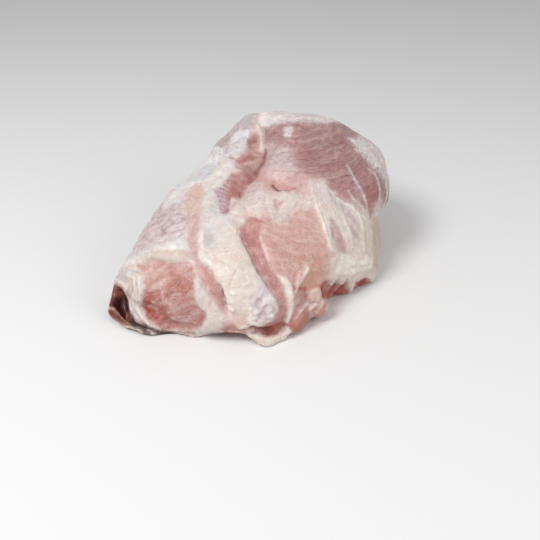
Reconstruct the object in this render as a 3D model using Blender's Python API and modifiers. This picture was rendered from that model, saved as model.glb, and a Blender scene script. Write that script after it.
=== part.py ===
"""A whole boneless pork collar, resting on its underside.

One solid: the muscles of the neck lie side by side and run into each other,
from the square cut end at -X to the domed shoulder end at +X. Seams, fat
ridges and an undercut are pressed into that mass, and the underside is
flat where the meat settles on a surface. Metres, +Z up, the origin under
the middle of the piece.
"""
import math

import bmesh
import bpy
import numpy as np
from mathutils import Euler, Matrix, Vector, noise

MM = 0.001

# Each muscle is a rounded block: centre and half sizes in mm, its turn about X, Y and Z
# in degrees, and how square it is, where 2 is an ellipsoid.
MUSCLES = {
    "shoulder_dome": ((49, 5, 50), (64, 68, 56), (8, 0, 0), 2.1),
    "back_lump": ((40, 50, 47), (39, 25, 49), (0, 0, 8), 2.3),
    "left_flank": ((-26, 29, 35), (68, 36, 39), (0, -12, 8), 2.4),
    "cut_end": ((-76, -6, 15), (32, 56, 34), (-19, 0, 29), 3.0),
    "middle": ((-18, -8, 38), (62, 42, 38), (0, -14, 0), 2.2),
    "front_ridge": ((-46, -37, 18), (24, 38, 33), (0, 0, -10), 2.2),
    "rib_side": ((8, -38, 24), (55, 33, 34), (0, 0, 3), 2.7),
    "rib_foot": ((42, -39, 10), (27, 33, 15), (0, 0, 0), 2.4),
}
LOBES = {
    "left_foot": ((-103, 11, 6), (22, 27, 11), (0, 0, 22), 2.6),
    "red_lobe": ((-36, -67, 12), (13, 10, 12), (0, 0, 0), 2.2),
    "pale_lobe": ((-19, -68, 20), (10, 8, 9), (0, 0, 0), 2.0),
    "nub": ((-19, -74, 11), (7, 7, 8), (0, 0, 0), 2.0),
    "fat_tab": ((-54, -67, 4), (17, 10, 5), (0, 0, -8), 2.2),
}
MUSCLE_BLEND = 24     # mm over which neighbouring muscles run into each other
LOBE_BLEND = 7

# Seams and ridges pressed into the mass. Each stop is a place on the surface, the half
# width there and the depth, all in mm; a ridge has a negative depth.
STROKES = {
    "valley": [(41, 44, 96, 7, 6), (15, 15, 90, 9, 9), (0, 5, 82, 9, 9), (-18, 0, 74, 10, 8),
               (-38, -5, 67, 10, 4)],
    "seam_left": [(-55, 18, 68, 5, 2), (-72, -6, 57, 5, 4), (-83, -24, 50, 5, 5), (-84, -43, 40, 5, 6),
                  (-81, -50, 28, 4, 6)],
    "seam_middle": [(-40, -22, 65, 6, 4), (-48, -36, 59, 6, 6), (-54, -56, 48, 6, 7), (-52, -68, 33, 6, 6),
                    (-48, -71, 17, 6, 5), (-52, -71, 12, 5, 5), (-65, -67, 10, 4, 4)],
    "arch_rim": [(-109, 24, 36, 6, -1), (-105, 23, 39, 6, -3), (-95, 11, 50, 6, -3), (-84, -6, 57, 6, -3),
                 (-83, -23, 52, 5, -1)],
    "face_collar": [(-108, 24, 37, 5, -1), (-114, 9, 31, 5, -3), (-113, 5, 17, 5, -3), (-112, 1, 9, 4, -1)],
    "undercut": [(-118, 26, 18, 6, 5), (-118, 18, 17, 8, 11), (-116, 3, 14, 7, 10), (-105, -13, 7, 5, 8),
                 (-94, -27, 5, 4, 7), (-82, -48, 5, 4, 5)],
    "dome_edge": [(-6, -8, 80, 5, 2), (7, -31, 80, 7, 3), (24, -44, 77, 9, 3), (34, -55, 65, 9, 3),
                  (50, -62, 52, 8, 5), (66, -59, 43, 8, 6), (84, -48, 34, 8, 6), (100, -30, 26, 8, 5)],
    "rib_ends": [(-10, -74, 20, 3, 2), (2, -73, 14, 3, 4), (14, -72, 13, 3, 4), (34, -74, 13, 4, 4),
                 (54, -70, 13, 4, 4), (68, -58, 14, 4, 3)],
    "tendon": [(-45, -72, 42, 3, -1), (-45, -75, 29, 4, -3), (-44, -77, 17, 4, -2)],
    "right_muscle_edge": [(-29, -35, 71, 4, -2), (-42, -43, 64, 4, -2), (-51, -62, 49, 4, -2)],
    "dome_slit": [(-9, -15, 79, 3, 1), (-4, -21, 80, 3, 4), (0, -28, 79, 3, 1)],
    "knob_crevice": [(2, 43, 86, 4, 2), (17, 42, 94, 4, 4), (20, 29, 92, 4, 3), (5, 24, 90, 4, 1)],
    "back_valley": [(48, 60, 86, 6, 4), (62, 66, 62, 8, 7), (68, 60, 34, 8, 6), (70, 54, 12, 7, 4)],
    "flank_seam": [(-98, 40, 22, 5, 3), (-62, 60, 32, 6, 5), (-22, 68, 34, 6, 5), (14, 76, 36, 6, 3)],
    "end_seam": [(104, -34, 60, 6, 3), (112, -10, 50, 7, 5), (108, 22, 42, 7, 5), (88, 50, 30, 6, 3)],
    "end_fat": [(92, -36, 78, 7, -2), (100, -6, 74, 8, -3), (96, 30, 66, 7, -2)],
}
STOP_SPACING = 2.0

UNEVENNESS = 0.9      # mm, the soft lumps of flesh that settles under its own weight
LUMP_LENGTH = 17
RIPPLE = 0.35         # mm, finer bumps along the surface
RIPPLE_LENGTH = 6

BLOCK_DETAIL = 4      # how often each starting ball is subdivided
EVEN_FACE = 3.0       # mm, face size before the mesh is thinned
TRIANGLES = 9400      # left after thinning, before the flat underside replaces some
PORK_COLOUR = (0.60, 0.43, 0.39, 1)
MOIST_ROUGHNESS = 0.38


def turn_of(turn):
    """The rotation for a turn about X, Y and Z in degrees, as a 3 by 3 array."""
    return np.array(Euler([math.radians(angle) for angle in turn]).to_matrix())


def block_distance(points, centre, sizes, turn, power):
    """About how far each point lies outside one rounded block; negative inside."""
    local = (points - np.array(centre, float)) @ turn_of(turn) / np.array(sizes, float)
    reach = np.maximum((np.abs(local) ** power).sum(1) ** (1 / power), 1e-6)
    slope = (np.abs(local) / reach[:, None]) ** (power - 1) / np.array(sizes, float)
    return (reach - 1) / np.linalg.norm(slope, axis=1)


def smooth_union(first, second, blend):
    """The nearer of two distances, rounded where they are nearly equal."""
    share = np.clip(0.5 + 0.5 * (second - first) / blend, 0, 1)
    return second + (first - second) * share - blend * share * (1 - share)


def flesh(points):
    """About how far each point lies outside all the muscles together."""
    value = np.full(len(points), 1000.0)
    for blocks, blend in ((MUSCLES, MUSCLE_BLEND), (LOBES, LOBE_BLEND)):
        for block in blocks.values():
            value = smooth_union(value, block_distance(points, *block), blend)
    return value


def slope_of_flesh(points, step=0.5):
    """The direction out of the flesh at each point, not made to length one."""
    return np.stack([(flesh(points + step * axis) - flesh(points - step * axis)) / (2 * step)
                     for axis in np.eye(3)], axis=1)


def onto_flesh(points, rounds=6, longest_move=12):
    """The points, moved to the surface of the flesh nearby."""
    for _ in range(rounds):
        slope = slope_of_flesh(points)
        steepness = np.maximum((slope**2).sum(1), 0.2)
        move = np.clip(flesh(points), -longest_move, longest_move) / steepness
        points = points - move[:, None] * slope
    return points


def smooth_stops(stops):
    """Stops every couple of millimetres on a smooth curve through the given ones."""
    stops = np.array(stops, float)
    held = np.vstack([2 * stops[0] - stops[1], stops, 2 * stops[-1] - stops[-2]])
    found = [stops[0]]
    for a, b, c, d in zip(held, held[1:], held[2:], held[3:]):
        count = max(2, round(np.linalg.norm((c - b)[:3]) / STOP_SPACING))
        for t in np.arange(1, count + 1) / count:
            found.append(0.5 * (2 * b + (c - a) * t + (2 * a - 5 * b + 4 * c - d) * t**2
                                + (3 * b - a - 3 * c + d) * t**3))
    return np.array(found)


def pressed(points):
    """The points, moved in along every seam and out along every ridge."""
    outward = slope_of_flesh(points)
    outward /= np.linalg.norm(outward, axis=1)[:, None]
    move = np.zeros(len(points))
    for stroke in STROKES.values():
        stops = smooth_stops(stroke)
        gaps = np.linalg.norm(points[:, None] - onto_flesh(stops[:, :3]), axis=2)
        nearest = gaps.argmin(1)
        width, depth = stops[nearest, 3], stops[nearest, 4]
        move -= depth * np.exp(-(gaps.min(1) / width) ** 2)
    for size, length in ((UNEVENNESS, LUMP_LENGTH), (RIPPLE, RIPPLE_LENGTH)):
        move += size * np.array([noise.noise(Vector(point / length)) for point in points])
    return points + move[:, None] * outward


def rough_mass():
    """All the blocks as one closed mesh of even faces, in millimetres."""
    form = bmesh.new()
    for centre, sizes, turn, _ in (*MUSCLES.values(), *LOBES.values()):
        place = Matrix.Translation(Vector(centre)) @ Matrix(turn_of(turn).tolist()).to_4x4()
        bmesh.ops.create_icosphere(form, subdivisions=BLOCK_DETAIL, radius=1.0,
                                   matrix=place @ Matrix.Diagonal((*sizes, 1)))
    mesh = bpy.data.meshes.new("pork_collar")
    form.to_mesh(mesh)
    form.free()
    collar = bpy.data.objects.new("pork_collar", mesh)
    group = bpy.data.collections.new("boneless_pork_collar")
    bpy.context.scene.collection.children.link(group)
    group.objects.link(collar)
    make_even(collar, EVEN_FACE)
    return collar


def make_even(collar, face_size):
    """Gives the mesh one clean skin of even faces, with nothing that crosses."""
    even = collar.modifiers.new("even_faces", "REMESH")
    even.mode = "VOXEL"
    even.voxel_size = face_size
    bake(collar)


def bake(collar):
    """Puts what the modifiers make in place of the mesh."""
    graph = bpy.context.evaluated_depsgraph_get()
    baked = bpy.data.meshes.new_from_object(collar.evaluated_get(graph))
    collar.modifiers.clear()
    collar.data = baked


def shape_surface(collar):
    """Brings the mesh to the flesh, presses the seams in, and turns it into metres."""
    mesh = collar.data
    points = np.empty(len(mesh.vertices) * 3)
    mesh.vertices.foreach_get("co", points)
    points = pressed(onto_flesh(points.reshape(-1, 3)))
    middle = (points.max(0) + points.min(0)) / 2 * (1, 1, 0)
    mesh.vertices.foreach_set("co", ((points - middle) * MM).ravel())
    make_even(collar, EVEN_FACE * MM)


def thin_out(collar):
    """Keeps the most telling triangles."""
    thin = collar.modifiers.new("thinned", "DECIMATE")
    thin.ratio = TRIANGLES / (2 * len(collar.data.polygons))
    bake(collar)


def settle(collar):
    """Cuts the underside flat at Z = 0."""
    form = bmesh.new()
    form.from_mesh(collar.data)
    everything = form.verts[:] + form.edges[:] + form.faces[:]
    bmesh.ops.bisect_plane(form, geom=everything, plane_co=(0, 0, 0), plane_no=(0, 0, -1), clear_outer=True)
    bmesh.ops.holes_fill(form, edges=[edge for edge in form.edges if edge.is_boundary], sides=0)
    bmesh.ops.triangulate(form, faces=form.faces[:])
    form.to_mesh(collar.data)
    form.free()


def pork_material():
    material = bpy.data.materials.new("raw_pork")
    material.use_nodes = True
    surface = material.node_tree.nodes["Principled BSDF"]
    surface.inputs["Base Color"].default_value = PORK_COLOUR
    surface.inputs["Roughness"].default_value = MOIST_ROUGHNESS
    surface.inputs["Metallic"].default_value = 0
    return material


def main():
    for old in list(bpy.data.objects):
        bpy.data.objects.remove(old)
    collar = rough_mass()
    shape_surface(collar)
    thin_out(collar)
    settle(collar)
    collar.data.materials.append(pork_material())
    collar.data.shade_smooth()


main()
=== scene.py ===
import functools
import bmesh
import bpy
import numpy as np
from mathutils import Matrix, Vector
from mathutils.bvhtree import BVHTree
from mathutils.kdtree import KDTree


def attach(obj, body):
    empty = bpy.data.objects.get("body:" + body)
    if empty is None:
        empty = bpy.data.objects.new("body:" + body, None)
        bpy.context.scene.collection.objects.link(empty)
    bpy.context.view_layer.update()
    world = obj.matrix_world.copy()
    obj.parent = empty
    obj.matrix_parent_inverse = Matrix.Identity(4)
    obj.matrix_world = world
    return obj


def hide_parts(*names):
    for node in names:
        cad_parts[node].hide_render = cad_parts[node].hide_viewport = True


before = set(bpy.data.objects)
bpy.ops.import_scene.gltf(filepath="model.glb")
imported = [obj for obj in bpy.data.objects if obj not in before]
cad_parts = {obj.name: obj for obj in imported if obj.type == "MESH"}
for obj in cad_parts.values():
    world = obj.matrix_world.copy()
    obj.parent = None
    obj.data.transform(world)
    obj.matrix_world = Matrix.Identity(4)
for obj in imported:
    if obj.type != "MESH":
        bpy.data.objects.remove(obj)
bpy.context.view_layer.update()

# Camera
# It stands where the photograph was taken from, some way in front of the cut end and above it.
# The tissues further down are laid out by points of its 540 by 540 picture.
EYE = Vector((-0.3056, -0.3269, 0.2877))
GAZE = Vector((0.589, 0.602, -0.539)).normalized()
PICTURE = 540
FOCAL = 682.4
SENSOR = 36

camera_data = bpy.data.cameras.new("camera")
camera_data.sensor_width = SENSOR
camera_data.lens = SENSOR * FOCAL / PICTURE
camera_data.clip_start = 0.01
camera = bpy.data.objects.new("camera", camera_data)
camera.location = EYE
camera.rotation_mode = "QUATERNION"
camera.rotation_quaternion = GAZE.to_track_quat("-Z", "Y")
bpy.context.scene.collection.objects.link(camera)
bpy.context.scene.camera = camera
axes = camera.rotation_quaternion.to_matrix()
picture_right = np.array(axes.col[0])
picture_up = np.array(axes.col[1])
picture_gaze = -np.array(axes.col[2])

# The piece of meat
# One boneless collar of pork, cut through at the left end and trimmed along its seams elsewhere.
# Its mesh is a fine, evenly spaced copy of the plain solid, and the tissues are laid on its points.
FINE_SPACING = 0.00114
EVENING_ROUNDS = 14
MM = 1000
CLEARANCE = 0.0008

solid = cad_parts["pork_collar"]
copied = bmesh.new()
copied.from_mesh(solid.data)
bmesh.ops.remove_doubles(copied, verts=copied.verts, dist=1e-6)
mass = bpy.data.meshes.new("collar_mass")
copied.to_mesh(mass)
copied.free()
rough = bpy.data.objects.new("collar_rough", mass)
bpy.context.scene.collection.objects.link(rough)
fine_grid = rough.modifiers.new("fine_grid", "REMESH")
fine_grid.mode = "VOXEL"
fine_grid.voxel_size = FINE_SPACING
evening = rough.modifiers.new("evening", "SMOOTH")
evening.iterations = EVENING_ROUNDS
evening.factor = 0.5
bpy.context.view_layer.update()
skin = bpy.data.meshes.new_from_object(rough.evaluated_get(bpy.context.evaluated_depsgraph_get()))
skin.name = "collar_skin"
bpy.data.objects.remove(rough)

count = len(skin.vertices)
at = np.empty(count * 3, np.float32)
skin.vertices.foreach_get("co", at)
at = at.reshape(-1, 3).astype(float) * MM
out = np.empty(count * 3, np.float32)
skin.vertex_normals.foreach_get("vector", out)
out = out.reshape(-1, 3).astype(float)
edges = np.empty(len(skin.edges) * 2, np.int32)
skin.edges.foreach_get("vertices", edges)
edges = edges.reshape(-1, 2)
links = np.bincount(edges.ravel(), minlength=count)
tree = BVHTree.FromPolygons(
    [tuple(place) for place in at / MM],
    [tuple(face.vertices) for face in skin.polygons])


def blurred(values, rounds):
    """Values of the skin's points, averaged with their neighbours' again and again."""
    first, second = edges.T
    for _ in range(rounds):
        values = (values
                  + np.bincount(first, values[second], count)
                  + np.bincount(second, values[first], count)) / (links + 1)
    return values


# Where each point of the skin lies in the picture, and how many millimetres it lies behind what
# shows there.
from_eye = at / MM - np.array(EYE)
depth = from_eye @ picture_gaze
across = PICTURE / 2 + FOCAL * (from_eye @ picture_right) / depth
down = PICTURE / 2 - FOCAL * (from_eye @ picture_up) / depth
facing = []
for i in np.flatnonzero(np.einsum("ij,ij->i", from_eye, out) < 0):
    start = Vector(at[i] / MM + out[i] * CLEARANCE)
    if tree.ray_cast(start, EYE - start)[0] is None:
        facing.append(i)
nearest = KDTree(len(facing))
for i in facing:
    nearest.insert(at[i], i)
nearest.balance()
behind = np.array([nearest.find(place)[2] for place in at])

NOISE_CELLS = 32
NOISE_SEED = 7
noise_values = np.random.default_rng(NOISE_SEED).uniform(-1, 1, (NOISE_CELLS,) * 3)


def lumps(places, length, shift=0.0):
    """Smooth noise from -1 to 1 with one hill in about every length of millimetres."""
    spots = places / length + shift
    cell = np.floor(spots).astype(int)
    part = spots - cell
    part = part * part * (3 - 2 * part)
    total = np.zeros(len(places))
    for corner in np.ndindex(2, 2, 2):
        weight = np.prod(np.where(corner, part, 1 - part), axis=1)
        key = (cell + corner) % NOISE_CELLS
        total += weight * noise_values[key[:, 0], key[:, 1], key[:, 2]]
    return total


@functools.cache
def lumpy(length, shift=0.0):
    """Two sizes of noise together, over the whole skin."""
    return 0.65 * lumps(at, length, shift) + 0.35 * lumps(at[:, [2, 0, 1]], length * 0.43, shift + 5.3)


def step(values):
    """From 0 to 1 along an even S."""
    values = np.clip(values, 0, 1)
    return values * values * (3 - 2 * values)


def shade(code):
    """Linear colour of a hexadecimal screen colour."""
    screen = np.array([int(code[i:i + 2], 16) for i in (1, 3, 5)]) / 255
    return np.where(screen <= 0.04045, screen / 12.92, ((screen + 0.055) / 1.055) ** 2.4)


# The meat's colour, the colour of fat over it, how far inside the fat's edge a point is in millimetres,
# how thick a thin film is, how plainly fibres and pale threads between them show, how far the skin is
# raised in millimetres, and the place of each point in a space squeezed along its fibres.
meat = np.tile(shade("#cba29b"), (count, 1))
cover = np.tile(shade("#e6dbd0"), (count, 1))
fat_depth = np.full(count, -4.0)
film = np.zeros(count)
fibre = np.zeros(count)
thread = np.zeros(count)
lift = np.zeros(count)
flow = at.copy()


def stain(mask, code):
    """Colours the meat under a mask."""
    meat[:] = meat * (1 - mask[:, None]) + shade(code) * mask[:, None]


def veil(mask, amount=1.0):
    """Lays thin film over the meat."""
    np.maximum(film, mask * amount, out=film)


stain(step(lumpy(22, 3.1) + 0.35), "#d9c0bb")
stain(0.6 * step(lumpy(9, 1.1) * 2), "#bf8f89")
veil(step(lumpy(16, 4.4) * 1.5 + 0.4), 0.5)

# Back and underside
# The long back muscle under a crumpled membrane, trimmed fat along its foot, seams filled with fat.
FAR = 1e3
PAIRS_AT_ONCE = 2_000_000


def on_skin(*places):
    """Points of the skin nearest to places given in millimetres."""
    return np.array([np.array(tree.find_nearest(Vector(place) / MM)[0]) * MM for place in places])


def eased(stops, widths, spacing=1.2):
    """Close points along a smooth line through the stops, and the width at each."""
    widths = np.broadcast_to(np.asarray(widths, float), len(stops))
    before = np.vstack([2 * stops[:1] - stops[1:2], stops, 2 * stops[-1:] - stops[-2:-1]])
    line = []
    wide = []
    for i in range(len(stops) - 1):
        a, b, c, d = before[i:i + 4]
        parts = max(2, int(np.linalg.norm(c - b) / spacing))
        for t in np.arange(parts) / parts:
            line.append(0.5 * (2 * b + (c - a) * t + (2 * a - 5 * b + 4 * c - d) * t**2
                               + (3 * b - a - 3 * c + d) * t**3))
            wide.append(widths[i] + (widths[i + 1] - widths[i]) * t)
    line.append(stops[-1])
    wide.append(widths[-1])
    return np.array(line), np.array(wide)


def from_line(stops, half_widths, reach=4.0):
    """Millimetres from each point of the skin to the edge of a stripe on it, less than 0 inside."""
    line, wide = eased(stops, half_widths)
    low = line.min(0) - reach - wide.max()
    high = line.max(0) + reach + wide.max()
    near = np.flatnonzero(np.all((at > low) & (at < high), axis=1))
    gap = np.full(count, FAR)
    for batch in np.array_split(near, max(1, len(near) * len(line) // PAIRS_AT_ONCE)):
        apart = np.linalg.norm(at[batch, None] - line[None], axis=2) - wide
        gap[batch] = apart.min(1)
    return gap


def tinge(mask, code):
    """Colours the fat under a mask."""
    cover[:] = cover * (1 - mask[:, None]) + shade(code) * mask[:, None]


def lay_fat(gap, code=None, ragged=0.9, grain=4.5, crisp=1.0):
    """Covers the meat with fat where a distance is less than 0, thinning out at its edge where less crisp."""
    gap = crisp * gap + ragged * lumpy(grain, 3.3)
    if code:
        tinge(step(0.5 - (gap - 2.0) / 1.5), code)
    np.maximum(fat_depth, -gap, out=fat_depth)


away = step((behind - 10 - 6 * lumpy(12, 2.5)) / 10)
back = away * step((at[:, 1] - 20) / 16) * step((8 - at[:, 0] - 8 * lumpy(20, 9.1)) / 6)
stain(back, "#cfb3b1")
veil(back, 0.9)
under_side = step((-out[:, 2] - 0.35 + 0.3 * lumpy(15, 3.8)) / 0.3)
stain(under_side, "#c08f87")
stain(0.7 * under_side * step(lumpy(17, 7.7) * 2), "#a9736b")
film *= 1 - 0.5 * under_side
near_front = 12 * (1 - away)
foot_fat = np.where(away > 0.1, at[:, 2] - 15 - 12 * lumpy(26, 5.2), FAR) + near_front
lay_fat(foot_fat + 30 * step((at[:, 0] - 50) / 60), "#dfd3c8", 1.6, 6, 0.7)
lay_fat(np.where(away > 0.1, 14 - 40 * lumpy(30, 8.8), FAR) + near_front, "#d9cdc8", 2.0, 6, 0.35)
for seam, wide in (
        (((12, 46, 92), (6, 62, 72), (-2, 74, 46), (-10, 76, 20), (-14, 60, 2), (-10, 30, 0)),
         (2.5, 3.5, 2, 3, 4, 2)),
        (((-20, 74, 40), (-50, 70, 34), (-80, 60, 30), (-104, 44, 24)), (0.5, 1.6, 1.0, 0.3)),
        (((116, -10, 40), (112, 20, 34), (98, 48, 30), (70, 70, 26), (44, 76, 22)),
         (1.5, 2.5, 1.0, 2.5, 1.0)),
        (((-90, -30, 0), (-50, -10, 0), (-10, -14, 0), (40, -4, 0), (80, 10, 0)), (1, 2.5, 1.5, 3, 1)),
        (((30, -50, 0), (24, -20, 0), (34, 14, 0), (30, 50, 0)), (2, 1, 2.4, 1))):
    seam_gap = from_line(on_skin(*seam), wide)
    lay_fat(seam_gap + near_front, "#e2d6cb", 1.4, 5)
    lift -= 1.0 * away * step(0.8 - seam_gap / 3)

# Shoulder muscle
# The big rounded muscle at the thick end, seamed out whole, with long wavy fibres round it.
# Its back goes on as its front does, under the same thin film, paler along the rim from film and a painted
# highlight.
HIDDEN_REACH = 50
WRAP = 12
FIBRE_AXIS = (52, 12, 0)
WAVES = np.array([0.716, -0.698, 0.0])
SHOULDER_CENTRE = (58, 30, 62)
SHOULDER_HALF_SIZES = (66, 54, 44)


def seen(*pixels):
    """Points of the skin, in millimetres, that show at points of the picture."""
    found = []
    for x, y in pixels:
        sideways = picture_right * (x - PICTURE / 2) - picture_up * (y - PICTURE / 2)
        ray = Vector(picture_gaze * FOCAL + sideways).normalized()
        hit = tree.ray_cast(EYE, ray)[0]
        if hit is None:
            glint_spot = EYE + ray * (-EYE.dot(ray))
            for _ in range(6):
                hit = tree.find_nearest(glint_spot)[0]
                glint_spot = EYE + ray * (hit - EYE).dot(ray)
        found.append(np.array(hit) * MM)
    return np.array(found)


def from_outline(outline, reach=8.0):
    """Millimetres from each point to the edge of an outline in the picture, less than 0 inside.

    What the outline holds goes on behind the rim of the picture for a ragged finger's breadth.
    """
    outline = np.array(outline, float)
    low = outline.min(0) - reach
    high = outline.max(0) + reach
    spots = np.stack([across, down], axis=1)
    near = np.flatnonzero((behind < HIDDEN_REACH) & np.all((spots > low) & (spots < high), axis=1))
    spots = spots[near]
    gap = np.full(len(near), FAR)
    inside = np.zeros(len(near), bool)
    for a, b in zip(outline, np.roll(outline, -1, axis=0)):
        side = b - a
        t = np.clip((spots - a) @ side / (side @ side + 1e-9), 0, 1)
        gap = np.minimum(gap, np.linalg.norm(spots - a - t[:, None] * side, axis=1))
        crosses = (a[1] > spots[:, 1]) != (b[1] > spots[:, 1])
        where = a[0] + side[0] * (spots[:, 1] - a[1]) / (side[1] if side[1] else 1e-9)
        inside ^= crosses & (spots[:, 0] < where)
    gaps = np.full(count, FAR)
    gaps[near] = np.where(inside, -gap, gap) * depth[near] / FOCAL * MM
    gaps[near] += 1.3 * np.maximum(0, behind[near] - WRAP * (1 + lumpy(14, 6.6)[near]))
    return gaps


def patch(outline, soft=2.0, ragged=1.0, grain=5.0):
    """Mask of what shows inside an outline in the picture."""
    return step(0.5 - (from_outline(outline, soft * 2 + ragged * 2) + ragged * lumpy(grain, 8.1)) / soft)


def stroke(pixels, half_widths, reach=4.0):
    """Millimetres from each point to the edge of a stripe along points of the picture."""
    return from_line(seen(*pixels), half_widths, reach)


def blush(outline, code, strength=1.0, soft=3.0, ragged=1.0, grain=5.0, within=1.0):
    """Colours the meat that shows inside an outline, as far as a mask given as within lets it."""
    stain(strength * within * patch(outline, soft, ragged, grain), code)


def tint(outline, code, strength=1.0, soft=3.0, ragged=1.0, grain=5.0, within=1.0):
    """Colours the fat that shows inside an outline, as far as a mask given as within lets it."""
    tinge(strength * within * patch(outline, soft, ragged, grain), code)


def zone(centre, sizes, soft=0.5):
    """Mask of a rounded region of space, with its centre and half sizes in millimetres."""
    from_centre = np.linalg.norm((at - centre) / sizes, axis=1)
    return step((1 - from_centre) / soft + 0.5)


def squeezed(places, way, keep):
    """Places drawn together along a direction, so that noise there runs in strands along it."""
    return places - (1 - keep) * (places @ way)[:, None] * way


def string(mask, places, amount, threads=0.0):
    """Shows fibres and pale threads under a mask, running as they do in the places given."""
    inside = mask > 0.5
    flow[inside] = places[inside]
    fibre[inside] = amount * step(2.4 * mask[inside] - 1.3)
    thread[inside] = threads * step(2.4 * mask[inside] - 1.3)


def fold(pixels, half_width=1.2, press=0.8, code=None, strength=0.6):
    """A narrow crease pressed in along points of the picture, its bottom coloured."""
    flank_width = half_width * 1.4
    lift[:] -= press * step(1 - stroke(pixels, 0.0, flank_width) / flank_width)
    if code:
        bottom = stroke(pixels, half_width * 0.35)
        mask = strength * step(0.5 - (bottom + 0.3 * lumpy(3, 5.5)) / 1.3)
        stain(mask, code)
        tinge(mask, code)
        film[:] *= 1 - mask


dome_rim = [(263, 125), (268, 115), (280, 106), (300, 105), (325, 111), (347, 122), (366, 132), (384, 148),
    (396, 175), (399, 192), (392, 208), (383, 214), (372, 221), (366, 212), (352, 203), (340, 196),
    (325, 190), (305, 186), (285, 182), (268, 178), (262, 165), (262, 145)]
dome = np.maximum(patch(dome_rim, 4, 3, 9), zone(SHOULDER_CENTRE, SHOULDER_HALF_SIZES, 0.3) * away)
stain(dome, "#b78887")
film *= 1 - 0.6 * dome
fat_depth[dome > 0.5] = np.minimum(fat_depth, 2.5 * lumpy(13, 1.7) - 1.6)[dome > 0.5]
blush([(262, 142), (288, 146), (300, 168), (298, 182), (285, 184), (262, 182)], "#e6d1cf", 0.8, 14, 5,
    within=dome)
# Along the top rim the near-white is thin film with a painted highlight on it, fading where the rim turns
# away from the camera.
top_rim = patch([(258, 126), (262, 104), (300, 96), (350, 110), (350, 123), (322, 122), (300, 121.5),
    (282, 122), (268, 127)], 6, 2, 8)
top_rim *= 1 - 0.7 * step((behind - 5 + 8 * lumpy(9, 1.4)) / 22)
stain(top_rim, "#fff6f2")
veil(top_rim, 0.6)
stain(0.4 * top_rim * step(lumpy(6, 9.6) * 2), "#cfb2ab")
blush([(300, 126), (336, 128), (362, 150), (366, 168), (356, 180), (320, 174), (298, 160)], "#a57876", 0.9,
    16, 6, within=dome)
blush([(330, 146), (352, 150), (356, 166), (334, 168)], "#a8756b", 0.6, 10, 5, within=dome)
blush([(338, 118), (372, 136), (392, 170), (376, 166), (356, 146), (336, 130)], "#a98389", 0.6, 8, 3,
    within=dome)
# A small white painted highlight near the top of the shoulder.
glint_spot = patch([(284, 128), (291, 125.5), (293.5, 129), (289, 138), (284.5, 136)], 3.0, 1.2, 2.5)
blush([(336, 129), (351, 130.5), (350, 133), (337, 132)], "#c09a86", 0.6, 2, 1, 3)
wavy = at + 4 * np.column_stack([lumps(at, 24, shift) for shift in (1, 2, 3)])
from_axis = wavy - FIBRE_AXIS
off_axis = np.hypot(from_axis[:, 0], from_axis[:, 1])
rings = np.column_stack([7.5 * from_axis[:, :2] / off_axis[:, None], 0.8 * off_axis - from_axis[:, 2]])
rings += 1.2 * np.column_stack([lumps(at, 7, shift) for shift in (4, 5, 6)])
ring_lines = np.clip(1 - 2.6 * np.abs(lumps(rings, 3.3, 0.7)), 0, 1)
waves = lumps(squeezed(wavy, WAVES, 0.14), 2.9, 4)
stain(0.32 * dome * step(lumps(rings, 3.0, 5.7) * 2), "#d2b4b1")
stain(0.25 * dome * step(-lumpy(2.9, 6.9) * 2), "#8d6064")
stain(0.20 * dome * step(-waves * 1.6), "#93666a")
stain(0.17 * dome * (1 - 0.8 * top_rim) * ring_lines * step(0.7 + lumpy(14, 2.2)), "#875357")
lift += dome * (0.25 * waves - 0.2 * ring_lines)
string(dome, rings, 0.65 - 0.3 * top_rim[dome > 0.5], 0.28)
low_rim = patch([(258, 172), (272, 168), (292, 172), (312, 176), (330, 182), (330, 194), (300, 192),
    (260, 186)], 5, 2)
fibre *= 1 - 0.6 * low_rim
thread *= 1 - 0.8 * low_rim
stain(0.5 * low_rim, "#d2aca5")
for line in (
        ((262, 127), (272, 122.5), (284, 120), (300, 119), (318, 121.5)),
        ((260, 119), (272, 114.5), (290, 112.5), (312, 114.5), (330, 119)),
        ((318, 117), (334, 121), (350, 130), (364, 143)),
        ((322, 122), (340, 128), (354, 138), (366, 150)),
        ((326, 129), (344, 135), (356, 145), (366, 157)),
        ((340, 141), (354, 149), (364, 158), (374, 166)),
        ((300, 172), (322, 176), (342, 184), (352, 186)),
        ((268, 150), (284, 153), (300, 158), (316, 163))):
    fold(line, 1.1, 0.35, "#8f666b", 0.4)
# The painted highlight goes on last, over the lines.
stain(0.85 * glint_spot, "#e9e0df")

# Fascia down the right of the shoulder
# A whitish sheet over the muscle's right side, thin at its edges, with pale tendon streaks below it.
sheet = from_outline([(349, 139), (362, 137), (374, 144), (388, 156), (396, 172), (394, 190), (389, 190),
    (385, 180), (377, 169), (366, 159), (356, 149)])
sheet += 13 * step((behind - 3) / 16) * (0.8 + lumpy(7, 2.1))
lay_fat(sheet, "#ebe4e3", 1.2, 5, 0.6)
for line in (
        ((352, 142), (364, 150), (376, 162), (386, 178)), ((366, 144), (378, 156), (388, 172)),
        ((360, 139), (372, 148), (384, 162), (391, 180))):
    fold(line, 1.0, 0.4, "#c3b0b3", 0.6)
blush([(378, 172), (384, 178), (396, 182), (394, 203), (384, 204), (382, 190)], "#9a7578", 0.8)
blush([(327, 184), (345, 181), (352, 192), (351, 206), (340, 201), (330, 195)], "#ae7876", 0.75, 5, 2, 4)
blush([(365, 184), (377, 181), (379, 198), (376, 213), (368, 213), (366, 198)], "#ab6660", 0.8, 4, 2, 4)
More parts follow.
